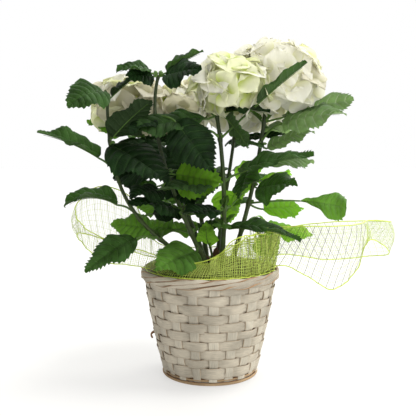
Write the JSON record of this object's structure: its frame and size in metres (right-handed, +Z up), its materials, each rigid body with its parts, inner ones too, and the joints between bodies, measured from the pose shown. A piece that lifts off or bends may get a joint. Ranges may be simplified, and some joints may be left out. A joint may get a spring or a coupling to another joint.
{
  "type": "potted hydrangea",
  "caption": "Potted mophead hydrangea: leafy upright stems and domed white flower heads in a woven chip-wood basket, with a loose collar of open netting.",
  "frame": {"origin": "centre of the basket's flat underside", "axes": "+Z up along the basket's axis, +Y away from the side that the plant is shown from, +X to the right from that side"},
  "size_m": [0.4549, 0.2706, 0.4344],
  "materials": {
    "splint": "thin split wood with a worn white wash, matt",
    "cane": "split cane with a worn white wash, matt",
    "compost": "moist dark potting compost",
    "netting": "lime-green open netting of shiny synthetic thread",
    "old_wood": "brown cut wood",
    "green_stem": "smooth green bark, browner towards the foot",
    "leaf_deep": "deep green leaf, half matt",
    "leaf_mid": "mid-green leaf, half matt",
    "leaf_fresh": "fresh green leaf, half matt",
    "leaf_lime": "young lime-green leaf, half matt",
    "sepal_white": "cream-white sepals, matt",
    "sepal_green": "greenish-white sepals, matt"
  },
  "bodies": {
    "root": {"basket_wall": "splint", "basket_rim": "cane", "foot_hoop": "cane", "root_ball": "compost", "netting_1": "netting", "netting_2": "netting", "netting_3": "netting", "netting_4": "netting", "netting_5": "netting", "netting_6": "netting", "netting_7": "netting", "netting_8": "netting", "cut_stub": "old_wood", "stem_left": "green_stem", "stem_left_front": "green_stem", "stem_left_back": "green_stem", "stem_centre": "green_stem", "stem_right": "green_stem", "stem_back": "green_stem", "stem_back_left": "green_stem", "stem_young": "green_stem", "flower_head_left": "sepal_white", "flower_head_centre": "sepal_green", "flower_head_right": "sepal_white", "flower_head_back": "sepal_white", "flower_head_back_left": "sepal_white", "foliage_left_1": "leaf_fresh", "foliage_left_2": "leaf_mid", "foliage_left_3": "leaf_fresh", "foliage_left_4": "leaf_deep", "foliage_left_5": "leaf_mid", "foliage_left_front_1": "leaf_fresh", "foliage_left_front_2": "leaf_mid", "foliage_left_front_3": "leaf_mid", "foliage_left_front_4": "leaf_deep", "foliage_left_front_5": "leaf_mid", "foliage_left_front_6": "leaf_deep", "foliage_left_back_1": "leaf_fresh", "foliage_left_back_2": "leaf_mid", "foliage_left_back_3": "leaf_deep", "foliage_centre_1": "leaf_mid", "foliage_centre_2": "leaf_lime", "foliage_centre_3": "leaf_mid", "foliage_centre_4": "leaf_deep", "foliage_centre_5": "leaf_deep", "foliage_right_1": "leaf_lime", "foliage_right_2": "leaf_lime", "foliage_right_3": "leaf_fresh", "foliage_right_4": "leaf_fresh", "foliage_right_5": "leaf_mid", "foliage_right_6": "leaf_deep", "foliage_back_1": "leaf_fresh", "foliage_back_2": "leaf_mid", "foliage_back_3": "leaf_deep", "foliage_back_left_1": "leaf_fresh", "foliage_back_left_2": "leaf_mid", "foliage_back_left_3": "leaf_mid", "foliage_young": "leaf_lime"}
  },
  "joints": []
}
